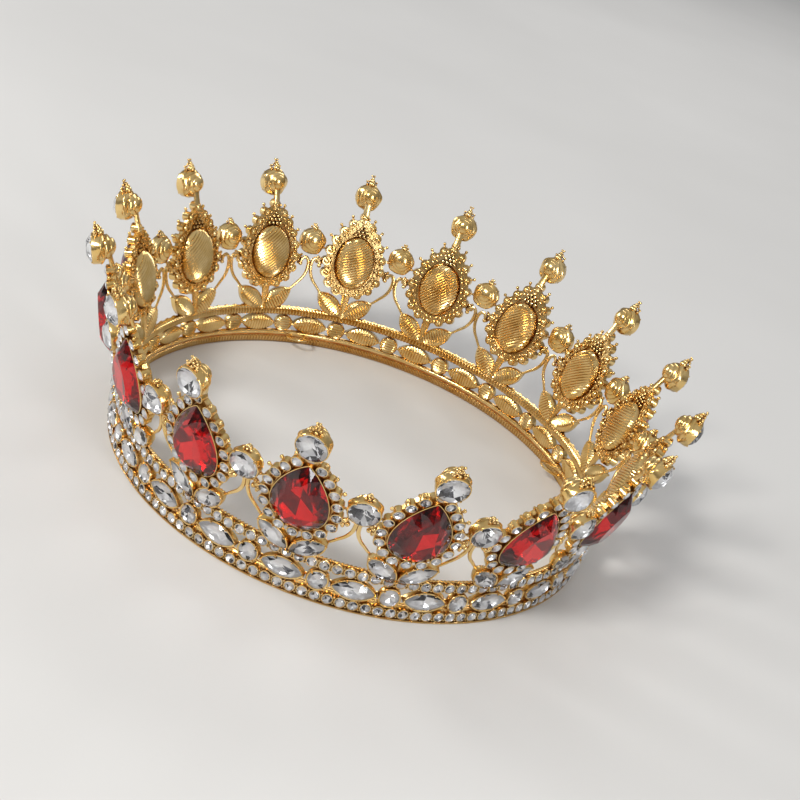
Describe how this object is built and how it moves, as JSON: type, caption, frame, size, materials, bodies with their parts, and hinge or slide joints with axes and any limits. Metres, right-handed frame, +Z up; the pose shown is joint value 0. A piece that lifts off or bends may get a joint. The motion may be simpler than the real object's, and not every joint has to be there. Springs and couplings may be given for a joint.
{
  "type": "crystal tiara, full round crown",
  "caption": "Full round gilded crown set with pear-shaped red stones, clear marquise and round stones and rows of small rhinestones; worn on the head.",
  "frame": {"origin": "centre of the base rim's underside, on the surface that the crown stands on", "axes": "+Z up through the middle of the ring, towards the peaks; -Y towards the front peak, +X to its right as seen from the front"},
  "size_m": [0.1476, 0.1476, 0.0479],
  "materials": {
    "gold": "bright gold plating on a cast alloy, ribbed and stippled on the back",
    "red_glass": "faceted, foil-backed",
    "clear_glass": "faceted, foil-backed",
    "small_clear_glass": "small faceted rhinestones, foil-backed"
  },
  "bodies": {
    "root": {"frame": "gold", "red_stone_01": "red_glass", "red_stone_02": "red_glass", "red_stone_03": "red_glass", "red_stone_04": "red_glass", "red_stone_05": "red_glass", "red_stone_06": "red_glass", "red_stone_07": "red_glass", "red_stone_08": "red_glass", "red_stone_09": "red_glass", "red_stone_10": "red_glass", "red_stone_11": "red_glass", "red_stone_12": "red_glass", "red_stone_13": "red_glass", "red_stone_14": "red_glass", "red_stone_15": "red_glass", "red_stone_16": "red_glass", "peak_stone_01": "clear_glass", "peak_stone_02": "clear_glass", "peak_stone_03": "clear_glass", "peak_stone_04": "clear_glass", "peak_stone_05": "clear_glass", "peak_stone_06": "clear_glass", "peak_stone_07": "clear_glass", "peak_stone_08": "clear_glass", "peak_stone_09": "clear_glass", "peak_stone_10": "clear_glass", "peak_stone_11": "clear_glass", "peak_stone_12": "clear_glass", "peak_stone_13": "clear_glass", "peak_stone_14": "clear_glass", "peak_stone_15": "clear_glass", "peak_stone_16": "clear_glass", "side_stone_01": "clear_glass", "side_stone_02": "clear_glass", "side_stone_03": "clear_glass", "side_stone_04": "clear_glass", "side_stone_05": "clear_glass", "side_stone_06": "clear_glass", "side_stone_07": "clear_glass", "side_stone_08": "clear_glass", "side_stone_09": "clear_glass", "side_stone_10": "clear_glass", "side_stone_11": "clear_glass", "side_stone_12": "clear_glass", "side_stone_13": "clear_glass", "side_stone_14": "clear_glass", "side_stone_15": "clear_glass", "side_stone_16": "clear_glass", "band_stones": "clear_glass", "leaf_stones": "clear_glass", "base_stones": "small_clear_glass"}
  },
  "joints": []
}
